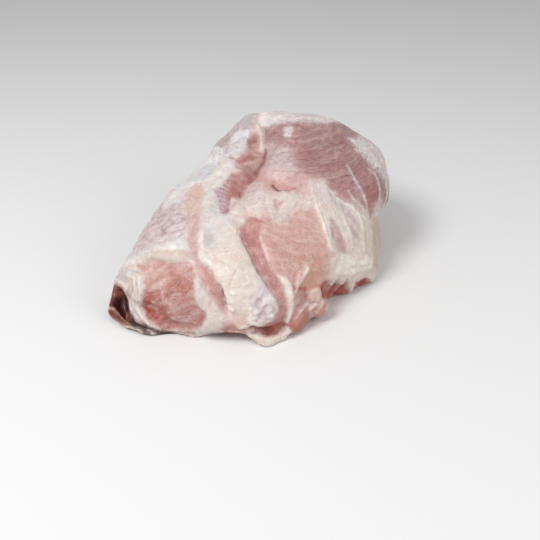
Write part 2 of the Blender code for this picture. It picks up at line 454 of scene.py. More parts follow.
for streak, wide in (
        (((347, 166), (352, 174), (358, 182)), (0.1, 0.5, 0)),
        (((354, 178), (360, 188), (366, 202), (369, 216)), 0.4),
        (((367.2, 168), (375.2, 175.4), (379.6, 187.9), (379.6, 196.7), (375, 209.9)),
         (0, 0.5, 0.6, 0.6, 0.2)),
        (((348, 191), (354, 200), (362, 207.7), (368, 216)), (0, 0.4, 0.5, 0.3)),
        (((357, 200), (363, 207), (369, 214)), (0, 0.3, 0.3)),
        (((335.6, 197), (343, 203), (350, 208)), (0.1, 0.5, 0.8)),
        (((384, 163), (389, 174), (392, 186), (391, 198), (386, 208)), 1.3),
        (((346, 205), (352, 206), (360, 212), (369, 217)), 1.0)):
    streak_gap = stroke(streak, wide)
    lay_fat(1.5 * streak_gap - 0.3, "#e8dcd6", 0.4, 3)
    lift += 0.35 * step(0.5 - streak_gap / 3)

# Knob of fat and the crevice beside it
# The bluish white fat at the top of the back edge, split from the shoulder by a deep crevice.


def band(pixels, half_widths, soft=1.5, ragged=0.3, grain=4.0):
    """Mask of a stripe along points of the picture, its edge as soft and as ragged as said."""
    return step(0.5 - (stroke(pixels, half_widths, soft + ragged) + ragged * lumpy(grain, 2.7)) / soft)


def bare(gap, ragged=0.7, grain=4.0):
    """Takes the fat off again where a distance is less than 0."""
    np.minimum(fat_depth, gap + ragged * lumpy(grain, 7.9), out=fat_depth)


def raise_fat(gap, code, rise, spread, ragged=0.9, grain=4.5):
    """Lays fat that also stands proud of the meat by so many millimetres, falling off over a spread."""
    lay_fat(gap, code, ragged, grain)
    lift[:] += rise * step(0.5 - gap / spread)


def muscle(rim, code, soft, ragged, grain, cleared=0.0, bared=None):
    """Shows meat of one colour inside an outline, cleared of so much film, and of fat where it is bared."""
    mask = patch(rim, soft, ragged, grain)
    film[:] *= 1 - cleared * mask
    if bared is not None:
        bare(from_outline(rim), bared)
    stain(mask, code)
    return mask


lay_fat(from_outline([(206, 168), (214, 146), (226, 124), (246, 114), (257, 114), (253, 124), (249, 136),
    (246, 151), (236, 154), (229, 153), (224, 160), (230, 172), (216, 176)]), "#d5cccf", 1.0)
tint([(233, 133), (248, 129), (246, 148), (230, 151)], "#e6e2e6", 1, 4, 1.5)
tint([(208, 165), (216, 146), (226, 134), (230, 137), (221, 150), (215, 164)], "#b4a9ac", 0.8, 2.5)
fold(((231.7, 141.5), (236, 138), (240.5, 134.2)), 1.0, 0.7, "#ad858d", 0.8)
fold(((222, 158), (227, 150), (229, 142)), 1.2, 0.5, "#c9b5bb", 0.6)
knob_mask = patch([(204, 168), (214, 144), (226, 122), (246, 112), (257, 114), (249, 136), (246, 151),
    (236, 154), (222, 162), (228, 172), (214, 178)], 3, 1.5)
crumpled = squeezed(at + 2.0 * lumpy(7, 4.9)[:, None], picture_right * 0.6 + picture_up * 0.8, 0.35)
creases = np.clip(1 - 3.0 * np.abs(lumps(crumpled, 2.8, 6.1)), 0, 1)
lift += knob_mask * (0.5 - 0.9 * creases)
string(knob_mask, crumpled, 0.7)
tinge(0.5 * knob_mask * creases * step(0.5 + lumpy(10, 3.5)), "#a08f93")
tint([(230, 133), (248, 128), (248, 146), (238, 152), (228, 151)], "#eeeaee", 0.8, 3, 1.5, 4)
crevice_rim = [(226, 155.5), (236, 157), (240, 152), (247, 150), (250, 138), (254, 131), (259, 135),
    (260, 149), (265.5, 152), (264, 162), (256, 175), (245, 171), (236, 168), (234, 159)]
crevice = muscle(crevice_rim, "#cba59d", 2.2, 1.0, 4, cleared=0.8, bared=0.7)
blush([(226, 154), (240, 157), (250, 151), (258, 156), (240, 162)], "#a56d60", 0.9, 2.5, within=crevice)
blush([(249, 134), (256, 132), (256, 140), (249, 142)], "#a26c61", 0.7, 2.5, 1, 3)
lift -= 0.5 * blurred(patch([(249, 134), (256, 131), (258, 146), (250, 150)], 2, 0.5), 2)
fold(((227, 155.5), (234, 156.5), (241, 154.5), (248, 151)), 1.4, 1.3, "#94594d", 0.8)
blush([(238, 166), (256, 164), (256, 174), (242, 172)], "#a87d76", 0.7, 3, 1.5, 4, within=crevice)
stain(0.4 * crevice * step(lumpy(3.4, 6.3) * 2.4), "#9b7068")
# A dark painted shadow down the crevice's right wall, and a shorter brown painted shadow line above it.
stain(0.9 * band(((264.5, 149), (263, 156), (260, 164), (255, 172)), 1.2, 2.0, 0.5), "#8e5750")
stain(0.7 * band(((265.5, 132), (265, 138), (264, 144)), 0.7, 2.0, 0.4), "#a8786a")
lift -= 2.0 * blurred(crevice, 5)
fold(((264, 149), (262, 159), (257, 170), (251, 180)), 1.8, 1.4)
for rib_line in (((249, 137), (255, 138)), ((248, 143), (256, 144)), ((246, 149), (257, 150))):
    fold(rib_line, 0.9, 0.4, "#9d6d63", 0.7)
lip = stroke(((255.5, 121), (258.5, 129), (261.5, 137), (260.8, 148)), (0.6, 1.3, 1.5, 0.8))
raise_fat(lip, "#e8dbd0", 1.8, 3, 0.3)

# Upper valley
# Deep pink muscle between the back edge and the shoulder, ribbed across by thin white threads of film.
valley_rim = [(230, 172), (250, 171), (256, 176), (248, 186), (240, 195), (236, 206), (226, 213),
    (213, 214), (211, 206), (216, 194), (224, 184)]
valley = muscle(valley_rim, "#ab706a", 3, 1.5, 5, cleared=0.8)
stain(0.5 * valley * step(lumpy(4, 9.2) * 2), "#c9a09b")
lift -= 1.4 * blurred(valley, 5)
blush([(210, 190), (226, 186), (228, 213), (212, 216)], "#b595a2", 0.8, 5, 2)
blush([(229, 207), (232, 197), (239, 196), (243, 205), (240, 213), (231, 214)], "#dcbfb8", 1, 3, 1.5, 3)
lay_fat(from_outline([(229, 206), (233, 198), (240, 198), (244, 206), (247, 215), (230, 217)]) + 0.7,
    "#e4d2c8", 2.6, 3.5)
neck_rim = [(246, 192), (259, 190), (266, 194), (267, 208), (259, 217), (248, 217), (244, 204)]
veil(muscle(neck_rim, "#ceaaa4", 3, 1.5, 4), 0.7)
for i in range(7):
    high = 184 + 4.4 * i
    neck_gap = stroke(((247 - 0.6 * i, high + 1.5), (254, high), (261, high - 1)), 0.2)
    lay_fat(neck_gap, "#dfd1cd", 0.9, 3)
lay_fat(stroke(((258.5, 203), (256.3, 210.5), (260.7, 216)), 0.5), "#ecdfd3", 0.3)
for i in range(9):
    left = 219 - 0.9 * i
    high = 183 + 3.7 * i
    thread_gap = stroke(((left - 4, high + 1), (left + 3, high - 0.5), (left + 10, high + 1.5)), 0.15)
    lay_fat(thread_gap, "#d8c8cd", 0.5, 2.5)
    fold(((left - 3, high + 2.8), (left + 4, high + 1.2), (left + 10, high + 3)), 0.9, 0.35, "#97697c", 0.5)
fold(((251, 178), (244, 190), (238, 197), (232, 206)), 1.6, 0.8, "#a66e69", 0.5)
fold(((240, 192), (240.4, 197), (238.5, 201)), 0.9, 0.8, "#7f4542", 0.8)
# The dark bottom of this short crease is a painted shadow.
fold(((259, 171), (256.6, 174.5), (253, 177)), 0.9, 0.8, "#7f4542", 0.8)

# Left flank
# A crumpled lilac white membrane over the long back muscle, with a bare peach patch near its top.
flank_rim = [(166, 190), (184, 174), (212, 158), (229, 160), (230, 172), (218, 186), (206, 192), (204, 213),
    (190, 216), (188, 240), (186, 254), (165, 256), (140, 262), (116, 268), (122, 252), (136, 226),
    (150, 204)]
flank = muscle(flank_rim, "#d2b6b4", 3, 2, 6)
veil(flank, 0.9)
high_flank = from_outline([(160, 196), (184, 168), (212, 152), (232, 158), (230, 174), (216, 190),
    (206, 192), (204, 184), (194, 184), (184, 192), (176, 206), (166, 206)])
lay_fat(high_flank, "#ece9e9", 1.8, 6, 0.5)
tint([(197, 168), (213, 158), (222, 164), (216, 176), (206, 182), (198, 180)], "#dfdce6", 0.8, 5, 2)
tint([(214, 164), (230, 158), (230, 174), (218, 188), (208, 190), (212, 176)], "#ebe4da", 0.7, 4, 2)
peach = patch([(186, 190), (196, 184), (204, 183), (205, 212), (194, 214), (184, 210)], 2.5, 1.5, 5)
bare(from_outline([(187, 191), (196, 185), (203.5, 184), (204, 213), (193, 213), (185, 209)]))
stain(peach, "#d5b6aa")
blush([(195, 184), (204, 183), (204, 198), (197, 199)], "#dab3a2", 0.7, 3.5, 1.5, 4)
film *= 1 - 0.8 * peach
lay_fat(stroke(((208, 182), (209, 196), (208, 212)), (1.6, 1.8, 1.0)), "#ece7e2", 0.8)
lay_fat(from_outline([(140, 250), (152, 245), (168, 240), (188, 234), (189, 262), (166, 262), (146, 266),
    (112, 276), (126, 256)]), "#efebe8", 1.2, 6, 0.5)
# A lilac-grey painted shadow on the pale fat above the arch.
tint([(128, 254), (146, 246), (166, 242), (168, 247), (148, 252), (130, 260)], "#d9ccd2", 0.5)
blush([(138, 230), (158, 212), (174, 218), (152, 238), (136, 246)], "#c7a4a7", 0.6, 6, 3, 6)
wrinkled = at + 2.5 * np.column_stack([lumps(at, 11, shift) for shift in (5, 6, 7)])
wrinkled = squeezed(wrinkled, picture_right * 0.93 + picture_up * 0.36, 0.28)
string(np.maximum(flank, back), wrinkled, 0.7, 0.4)
wrinkles = np.clip(1 - 3.2 * np.abs(lumps(wrinkled, 3.4, 2.2)), 0, 1)
smooth_flank = patch([(126, 262), (140, 246), (156, 240), (188, 233), (190, 262), (150, 262)], 4, 2)
smooth_flank = np.maximum(smooth_flank, patch([(168, 196), (186, 176), (212, 154), (232, 158), (230, 176),
    (212, 192), (206, 214), (184, 214), (184, 196)], 5, 2))
wrinkled_flank = blurred(np.maximum(flank, back), 4) * step(0.8 + lumpy(20, 6.1)) * (1 - 0.8 * smooth_flank)
fibre *= 1 - 0.6 * smooth_flank
thread *= 1 - 0.8 * smooth_flank
stain(0.65 * wrinkled_flank * wrinkles, "#9c7680")
tinge(0.4 * wrinkled_flank * wrinkles, "#ab929a")
film *= 1 - 0.6 * wrinkled_flank * wrinkles
lift += wrinkled_flank * (0.35 - 0.8 * wrinkles)
fibre *= 1 - 0.8 * peach
for line in (
        ((160, 209), (166.2, 207.8), (175.3, 209.3)), ((154, 230), (160.8, 226.2), (170, 219)),
        ((140, 235), (144, 232.3), (150.9, 227.7), (158, 225)),
        ((160.8, 241.5), (175.3, 238.4), (185.3, 231.5)), ((136.3, 250.6), (148.6, 244.5), (160.8, 241.5)),
        ((178, 205), (184, 201), (189, 199)), ((166, 216), (176, 214), (186, 216))):
    fold(line, 1.2, 0.8, "#a1868a", 0.65)
fold(((141, 239), (153, 241.5), (160, 243)), 1.0, 0.4, "#cd9a93", 0.7)

# Cut end
# The face cut through the neck muscles: salmon meat marbled with thin pale lines, in a collar of fat.
face_rim = [(129, 267), (144, 262), (151, 259), (161, 260.5), (173, 262), (187, 261), (192, 264),
    (194.6, 274.5), (193, 281), (195.4, 287), (194.6, 297), (198, 306), (205.6, 313), (206.4, 319),
    (201, 328), (194, 331), (177, 329), (163, 330), (154, 326), (147, 318), (142, 310), (141, 304),
    (142.5, 296), (144, 288), (143, 281), (144, 272)]
face = muscle(face_rim, "#b97a70", 2.0, 0.8, 4, cleared=1.0, bared=0.5)
for outline, soft, code, strength in (
        ([(129, 266), (150, 260), (164, 262), (168, 282), (152, 292), (142, 284)], 7, "#d3ac9f", 0.8),
        ([(141, 296), (152, 298), (164, 308), (166, 324), (154, 326), (146, 318)], 8, "#b05f55", 0.85),
        ([(142, 303), (149, 304), (155, 322), (147, 319)], 5, "#a63c31", 0.85),
        ([(184, 286), (191, 286), (190, 294), (183, 293)], 4, "#c98a78", 0.5),
        ([(172, 262), (190, 262), (193, 276), (178, 278)], 6, "#cda19d", 0.7),
        ([(164, 284), (176, 282), (182, 300), (170, 304)], 6, "#b37d72", 0.5),
        ([(170, 308), (196, 298), (206, 314), (198, 328), (172, 326)], 7, "#c99d99", 0.6)):
    blush(outline, code, strength, soft, soft * 0.4, 6, within=face)
raked = squeezed(at + 0.9 * lumpy(9, 2)[:, None], picture_right * 0.86 + picture_up * 0.5, 0.13)
rakes = lumps(raked, 3.0, 1.5)
string(face, raked, 0.4, 0.5)
stain(0.40 * face * step(rakes * 1.7), "#dcbcb4")
stain(0.30 * face * step(-rakes * 1.7), "#a3645a")
lift += 0.25 * face * rakes
for line in (
        ((157, 306), (168, 300), (177.8, 293.6)), ((165, 315), (177, 310), (186, 305)),
        ((144, 275), (152.8, 272.3)), ((148, 290), (154, 285.5), (158.7, 281.8), (161, 285.5)),
        ((186.6, 273), (193.2, 271.5)), ((166, 325), (173.4, 320.7)), ((180, 323), (188, 320)),
        ((160, 291), (161, 300), (163, 306)), ((150, 262), (149, 270), (152, 277)), ((163, 279), (158, 288))):
    lay_fat(stroke(line, -0.2), "#dfc2b7", 0.7, 2.5)
# The arch of fat over the cut face is a duller cream than the fat round it, partly painted shade.
arch = from_outline([(140, 260), (147, 256.5), (158, 254.5), (170, 254), (182, 255.5), (193, 259),
    (193, 262), (187, 261.5), (173, 262), (161, 260.5), (151, 258.5), (144, 261.5)])
lay_fat(arch, "#d7cdc3", 0.6, 4, 0.7)
lift -= 2.0 * blurred(face, 3)
# The darker bottom of the crease along the arch's lower edge is a painted shadow.
fold(((147, 260), (152, 258.8), (161, 260.6), (173, 262), (187, 261.4)), 1.1, 0.6, "#b78f7c", 0.6)
fold(((176, 253), (184, 255), (192, 257)), 0.9, 0.3, "#cdbb9f", 0.5)
collar = from_outline([(128, 266), (112, 279), (123.5, 285.5), (125, 296), (128.6, 304), (129.3, 312),
    (135, 318), (145.5, 321.5), (154, 327), (164, 331), (147, 318), (142, 310), (141, 304), (142.5, 296),
    (144, 288), (143, 281), (143, 272), (134, 266)])
lay_fat(collar, "#e5dcd5", 0.5)
round_face = np.stack([from_outline(face_rim, 40), down * 0.1, across * 0.05], axis=1)
collar_mask = step(0.5 - collar / 2)
rim_folds = lumps(round_face, 2.1, 0.4)
lift += collar_mask * 0.9 * rim_folds
tinge(0.5 * collar_mask * step(-rim_folds * 2.2 - 0.1), "#c4aea2")
tinge(0.7 * collar_mask * step(rim_folds * 2.2), "#f2ebe4")
string(collar_mask, round_face * 0.8, 1.0)
tint([(118, 272), (127, 268), (127, 280), (119, 280)], "#c3c4cf", 0.5)
# A bluish white painted highlight at the top of the collar.
tint([(129, 270), (134, 270), (133, 277), (129, 276)], "#e6eaf0", 0.6, 2)
for line, code in (
        (((131, 280), (134, 292), (136, 302), (142, 316)), "#c1a08f"),
        (((135, 278), (138, 290), (138.5, 302), (144, 317)), "#c9988c"),
        (((127, 282), (129, 294), (133, 306), (139, 318)), "#b9a59a"),
        (((124, 276), (128, 284), (130, 296)), "#bdb3b0")):
    fold(line, 1.0, 0.6, code, 0.75)
fold(((126.5, 267.5), (128.5, 266.5), (130.5, 267)), 0.7, 0.3, "#b98078", 0.6)
# The hollow is dark red-brown meat under painted shade.
hollow_rim = [(113, 283), (122, 287.7), (128, 301), (128.6, 310.4), (134.5, 318), (145.5, 322), (154, 328),
    (163, 331), (170, 334), (147, 333), (136.7, 328), (128, 319), (120.5, 313.4), (114.7, 308), (108, 306),
    (107, 291), (109, 284)]
hollow = muscle(hollow_rim, "#57241f", 2.2, 0.8, 4, cleared=1.0, bared=0.4)
blush([(106, 283), (119, 286), (122, 291), (116, 300), (106, 304)], "#8c4c43", 0.9, 3.5, 1.5, within=hollow)
# Its near-black centre is painted shade.
blush([(112, 297), (126, 296), (129, 312), (120, 312), (112, 306)], "#431b17", 0.9, 3.5, 1.5)
lift -= 7.0 * blurred(patch([(115, 290), (121, 291), (126, 302), (127, 311), (133, 318), (146, 325),
    (158, 331), (146, 331), (136, 326), (127, 317), (120, 309), (115, 304)], 2.5, 0.5), 3)
flap_rim = [(102, 310), (113, 309), (119, 314), (125.7, 320.7), (133, 324.4), (130.8, 327), (118, 325),
    (104, 320)]
flap = muscle(flap_rim, "#7d3f30", 2, 0.8, 4, cleared=1.0, bared=0.4)
stain(0.6 * flap * step(lumpy(5, 2.4) * 2), "#945444")
pale_rim = stroke(((106, 311), (110, 317), (118, 323), (128, 326)), 0.6)
stain(0.7 * flap * step(0.5 - pale_rim / 1.5), "#b98a78")
blush([(108, 308), (118, 312), (127, 321), (118, 319), (108, 314)], "#5d3029", 0.6, within=flap)
# Under the overhanging body the foot is dark brown meat, with near-black painted shadow in the gap along it.
foot_rim = [(112, 321), (122, 322), (134, 323), (142, 323), (150, 328), (160, 331), (176, 332), (200, 335),
    (206, 342), (150, 342), (122, 338), (108, 328)]
foot = muscle(foot_rim, "#8a5a4c", 2, 1, 4, cleared=1.0, bared=0.5)
blush([(126, 320), (136, 320), (146, 324), (160, 330), (178, 331), (176, 336), (148, 335), (132, 330)],
    "#372019", 0.9, 2, within=foot)
for shred, wide in (
        (((118, 327), (127, 329.5), (134, 330.5), (141, 333)), 1.1),
        (((136, 325.5), (144, 329), (151, 332)), 0.3),
        (((152, 333.5), (166, 334.5), (178, 335.5)), 0.7),
        (((176, 332.5), (190, 335.5), (204, 338)), 0.7)):
    raise_fat(stroke(shred, wide), "#dccdbd", 0.6, 2, 0.8, 3)
# The creases along the bottom are coloured as painted shadow.
fold(((140, 323), (148, 328.5), (158, 331.5), (170, 332.2), (180, 332.6), (195, 334)), 1.8, 1.6, "#33201c",
    0.9)
fold(((160, 336), (174, 338), (190, 340)), 1.5, 0.8, "#4a2f2a", 0.7)
corner_fat = from_outline([(194.6, 278), (194.6, 297), (198, 306), (205.6, 313), (206.4, 319), (201, 328),
    (195, 331), (196, 337), (222, 336), (229, 322), (222, 312), (215, 303), (210, 298), (204, 290),
    (199, 278)])
raise_fat(corner_fat, "#dfd6cf", 0.8, 3, 0.4)
tint([(193, 284), (202, 286), (206, 300), (198, 304)], "#d5cdd0", 0.5, 4, 2)
tint([(204, 289), (214, 302), (225, 318), (216, 333), (204, 334), (208, 314)], "#e3d8ce", 0.8, 3, 1.5)
# Along the wedge's right edge a raised line of fat is painted near-white as a highlight.
wedge_lit_edge = stroke(((199, 279), (208, 292), (217, 304), (224, 312)), 0.5)
tinge(step(0.5 - wedge_lit_edge / 1.2), "#f6efe7")
lift += 0.7 * step(0.5 - wedge_lit_edge / 2)

# Pale muscle strip
# The narrow dusty pink muscle that runs from the back down beside the cut end, sunk below the fat.
strip_rim = [(188, 213), (188, 231), (187, 240), (191, 256), (195, 265), (200, 276), (204, 289), (211, 294),
    (215, 300), (228, 318), (230, 308), (224, 300), (221, 289), (218, 284), (213, 271.4), (204, 264),
    (199, 260), (197.6, 241), (199, 231), (200.6, 214)]
strip = muscle(strip_rim, "#c9a4a1", 2.0, 0.8, 5, cleared=0.7)
blush([(198, 262), (214, 268), (224, 290), (226, 310), (212, 296), (203, 282)], "#c78f89", 0.8, 4, 1.5,
    within=strip)
fold(((219.5, 287), (222.5, 295), (226, 304)), 2.6, 2.0, "#873b34", 1.0)
stain(0.6 * strip * step(lumpy(3.2, 8.3) * 2.4), "#e0c1bc")
fold(((195, 264), (204, 266), (213, 273), (218, 285)), 1.1, 0.5, "#b98379", 0.4)

# Middle ridge of fat
# The thick cream fat between the two pink strips, waxy and lumpy, crumbling into lilac grains below.
ridge_rim = [(204, 196), (212, 188), (219, 197), (219, 210), (226, 215), (236, 216), (245, 218), (240, 229),
    (241.6, 238), (246, 247), (253, 263), (259, 274), (267, 285), (274, 294), (280, 308), (275, 324),
    (262, 328), (246, 326), (232, 318), (227, 308), (223, 292), (218, 284), (213, 271), (204, 263),
    (199, 258), (198, 241), (200, 228)]
lay_fat(from_outline(ridge_rim), "#e8dcd1", 0.9)
tint([(202, 190), (222, 190), (230, 212), (236, 222), (226, 232), (212, 250), (198, 250), (200, 214)],
    "#dfd9d8", 1, 6, 2.5, 6)
bare(from_outline(strip_rim), 0.4)
tint([(203, 235), (211, 231), (214, 240), (211, 248), (204, 247)], "#b6bebb", 0.85, 6, 2, 4)
lay_fat(stroke(((200, 236), (200.5, 248), (203, 258), (209, 264)), 0.8), "#f0eae4", 0.5)
tint([(257, 270), (268, 286), (277, 302), (272, 320), (254, 326), (250, 300), (256, 288)], "#ddd0d8", 0.7,
    5, 2.5, 4)
front_pink = [(229, 309), (246, 314), (250, 325), (250, 333), (252, 342), (222, 342), (221, 328),
    (226, 318)]
bare(from_outline(front_pink) * 0.6, 1.4)
blush(front_pink, "#dab6ab", 1, 4, 1.5)
blush([(220, 327), (234, 324), (240, 330), (250, 333), (250, 342), (220, 342)], "#c2857a", 0.8, 3, 1.5)
for line in (
        ((222, 250), (227, 246), (231, 243)), ((224, 232), (228, 230)), ((234, 222), (238, 228), (236, 236)),
        ((214, 256), (222, 262), (226, 270)), ((240, 262), (244, 272), (246, 282))):
    fold(line, 1.1, 0.45, "#d3b9ab", 0.5)
fold(((229.5, 285), (232, 278), (235.5, 271)), 1.1, 0.7, "#b08476", 0.7)
fold(((229, 291), (238, 288), (246, 289), (254, 286)), 1.4, 0.6, "#d9c5b9", 0.5)
# The dark bottom of this crease is a painted shadow under the fat shreds.
fold(((238, 332), (244, 331), (252, 329)), 1.8, 1.4, "#5e3a34", 0.9)
for shred in (((226, 335), (234, 334.5), (242, 336), (250, 338)), ((239, 330), (243, 327.5), (247, 326.5))):
    raise_fat(stroke(shred, 0.8), "#ecdfd2", 0.8, 2, 0.5, 3)
for crumb in ((226, 293), (229, 297), (227, 301), (232, 292), (228, 306), (231, 309), (232, 301)):
    crumb_gap = stroke((crumb, (crumb[0] + 2, crumb[1] + 1)), 1.2)
    raise_fat(crumb_gap, "#ece0d7", 1.6, 1.6, 0.4, 3)
    tinge(step(0.5 - crumb_gap / 1.5), "#f6eee7")
grains = patch([(250, 296), (262, 288), (275, 300), (274, 318), (262, 328), (250, 324)], 4, 2)
crumbs = lumps(at, 2.3, 3.7)
lift += grains * 1.2 * crumbs
tinge(0.45 * grains * step(-crumbs * 3 - 0.5), "#a98c98")
tinge(0.8 * grains * step(crumbs * 3 - 0.3), "#faf5f6")

# Second pink strip
# A dusty pink muscle in the deep fold right of the ridge, from the crease at its top to the front edge.
second_rim = [(248, 217), (264, 220), (260, 237), (263, 246), (268, 260), (271, 271), (277.6, 278),
    (285, 292.7), (288, 308), (284, 322), (270, 333), (256, 334), (258, 327), (272, 320), (279, 308),
    (274, 294), (267, 285), (259, 274), (253, 263), (246, 247), (241.6, 238), (240, 229)]
second = muscle(second_rim, "#b57a74", 2.2, 1.4, 4, cleared=0.7, bared=1.0)
blush([(270, 276), (282, 286), (288, 306), (284, 320), (276, 324), (280, 306)], "#c48c80", 0.5,
    within=second)
# Mauve painted shade along the strip's left edge, where it drops into the fold.
stain(0.6 * band(((243, 238), (249, 254), (257, 270), (267, 285), (276, 299)), 0.8, 2.5, 0.5), "#ac8087")
fold(((241, 236), (246, 248), (254, 264), (260, 275), (268, 286), (276, 298), (281, 310)), 1.8, 1.0)
fold(((250.5, 216.5), (257, 218.5), (264, 221.5)), 1.0, 0.8, "#8e4540", 0.9)
mouth_rim = [(252, 327), (262, 328.5), (272, 327), (286, 321), (286, 330), (278, 334), (268, 336.5),
    (258, 334)]
mouth = muscle(mouth_rim, "#a0503f", 1.8, 0.8, 4, bared=0.5)
blush([(276, 326), (286, 320), (287, 328), (279, 333)], "#b9705f", 0.8, 2, 0.6)
lift -= 2.4 * blurred(mouth, 2)
fold(((251, 328.5), (256, 329), (263, 331), (270, 331)), 2.4, 1.4, "#5b2520", 0.95)
# The dark bottom of this crease is a painted shadow under the shreds.
fold(((246, 335), (251, 333.5), (257, 334.5)), 1.4, 1.0, "#4d332f", 0.8)
stain(0.5 * second * step(lumpy(2.8, 7.1) * 2.2), "#d2a8a2")
blush([(244, 214), (266, 216), (264, 230), (242, 234)], "#d0a49c", 0.6, 7, 3)
stain(0.35 * second * step(-lumpy(3.4, 3.6) * 2.2), "#a26a66")

# Right muscle
# The pale loin end, its fine fibres showing as whitish threads across it, oranger towards the bottom.
loin_rim = [(262, 214), (270, 206), (288, 206), (305, 206), (316, 208), (321, 220), (325.5, 232),
    (329.5, 246), (334, 256), (330, 266), (332, 278), (322, 286), (308, 290), (296, 290), (286, 286),
    (278, 277), (271, 270), (268, 260), (263, 246), (260, 237)]
loin = muscle(loin_rim, "#cfa499", 2.5, 1, 6, cleared=0.8)
blush([(302, 260), (326, 256), (332, 276), (316, 290), (296, 290), (292, 278)], "#d39f89", 0.8, 8, 3, 6)
blush([(264, 240), (280, 244), (290, 270), (280, 276), (268, 258)], "#cb9c94", 0.5, 7, 3, 6)
threaded = squeezed(wavy, WAVES * 0.97 - np.array([0, 0, 0.2]), 0.1)
string(loin, threaded, 0.18, 0.35)
threads = lumps(threaded, 2.2, 6)
stain(0.3 * loin * step(threads * 1.7), "#e6cfc6")
stain(0.15 * loin * step(-threads * 1.7), "#c28e80")
lift += 0.22 * loin * threads
for line in (
        ((288, 228), (296, 230), (306, 233), (318, 238)), ((284, 240), (300, 243), (316, 250)),
        ((282, 252), (296, 256), (310, 258)), ((276, 262), (288, 268), (298, 274))):
    fold(line, 1.0, 0.4, "#bb8577", 0.55)
lay_fat(stroke(((260.5, 238), (264, 247), (269.4, 259.4), (275, 268)), -0.3), "#e0c8be", 0.4)

# Under the shoulder
# Cream mottled fat and film between the shoulder and the loin, round a small dark slit.
under_rim = [(268, 196), (276, 198), (283, 191), (291, 193), (302, 197), (313, 200), (313, 206), (300, 206),
    (290, 211), (286, 222), (275, 223), (272, 211)]
lay_fat(from_outline(under_rim) - 0.2, "#d4c5bd", 2.4, 3.2, 0.8)
tinge(0.75 * step(lumpy(3.4, 5.1) * 2.4 + 0.3) * patch(under_rim, 3), "#c0a096")
veil(patch([(262, 190), (312, 192), (318, 206), (288, 216), (266, 218)], 5, 3), 0.6)
blush([(272, 184), (290, 185), (298, 189), (282, 192), (272, 190)], "#cd9f97", 0.7, 3, 1.5, 4)
blush([(262, 174), (290, 177), (312, 184), (300, 196), (268, 200), (258, 190)], "#cfa59b", 0.8, 6, 3, 6,
    within=1 - dome)
film *= 1 - 0.5 * patch([(262, 176), (290, 178), (308, 184), (300, 192), (268, 192)], 5, 2)
bare(from_outline([(269, 183), (292, 183), (298, 189), (282, 192), (268, 190)]))
fold(((277, 188.5), (284, 190), (289, 189.5), (295, 187.5)), 1.9, 1.2, "#9c544e", 0.95)
# The slit's near-black bottom is partly dark red meat, partly painted shadow.
fold(((272.5, 183.5), (275.5, 186), (279, 189)), 2.4, 2.8, "#5e2322", 1.0)
for line, wide in (
        (((262, 190), (263, 204), (261, 214)), 0.5),
        (((268, 194), (269, 204), (272, 212), (278, 218)), 0.6),
        (((283, 191), (288, 195), (296, 198), (304, 200)), 1.0),
        (((274, 197), (281, 198), (287, 196.5)), 0.9), (((303, 203), (311, 202.5)), 1.1),
        (((292, 198), (288, 206), (283, 214), (279, 222)), (1.4, 2.2, 2.0, 1.0))):
    raise_fat(stroke(line, wide), "#dccfc8", 0.5, 2, 1.2, 2.6)
blush([(279, 186), (286, 186.5), (294, 187), (291, 190), (282, 190)], "#c08279", 0.7, 2, 0.8, 3)
# Two raised shreds of fat made near-white; on the first, at the right, the white is a painted highlight.
for shred in (((304, 202), (307, 203), (311, 203.5)), ((258.5, 202), (256.3, 210.5), (260.7, 216))):
    shred_gap = stroke(shred, 0.3)
    raise_fat(shred_gap, None, 0.6, 1.5, 0.3, 2)
    tinge(0.8 * step(0.5 - shred_gap / 1.2), "#fbf0e4")
fold(((257, 219.5), (261, 221), (264.5, 221.5)), 1.2, 0.8, "#9c5a50", 0.85)

# Rib side
# The sheet of fascia and fat over the rib side, with grey lilac bands where the muscle shows through it.
rib_rim = [(306, 186), (312, 182), (322, 184), (336, 196), (349, 206), (362, 212), (372, 218), (377, 206),
    (390, 206), (390, 245), (388, 278), (374, 279), (369, 276), (356, 281), (349, 291), (348, 280),
    (337.5, 283), (331, 276), (329, 262), (334, 256), (329.5, 246), (325.5, 232), (321, 218), (317, 206),
    (313, 192)]
lay_fat(from_outline(rib_rim), "#dcd2cb", 1.6, 4, 0.5)
tint([(330, 262), (340, 252), (352, 242), (362, 228), (372, 219), (390, 214), (390, 245), (388, 278),
    (374, 280), (350, 292), (330, 280)], "#e4d7c9", 1, 5, 3)
for stripe, wide, code in (
        (((316, 184), (321, 194), (326, 206)), (3.0, 3.6, 1.6), "#d6cccf"),
        (((328, 190), (335, 199), (343, 208), (351, 217), (358, 226)), (0.8, 2.2, 3.4, 3.0, 1.0), "#cdbdc0"),
        (((330.5, 218), (335.5, 231), (341, 246), (347, 261)), (0.6, 4.0, 4.2, 0.4), "#bd9c9c"),
        (((350, 226), (354, 232), (359, 240)), (1.0, 2.4, 0.8), "#c6b3b1"),
        (((362, 226), (365, 240), (366, 254)), (0.6, 1.8, 0.6), "#d3c5bd")):
    stripe_mask = band(stripe, wide, 2.8, 0.7, 4)
    tinge(0.9 * stripe_mask, code)
    lift -= 0.7 * stripe_mask
front_edge = ((310, 190), (313.5, 196), (316.7, 206), (321, 218), (325.5, 232), (329.5, 246))
lay_fat(stroke(front_edge, (0.2, 0.8, 1.4, 1.4, 1.4, 1.4)), "#ece3d9", 0.5)
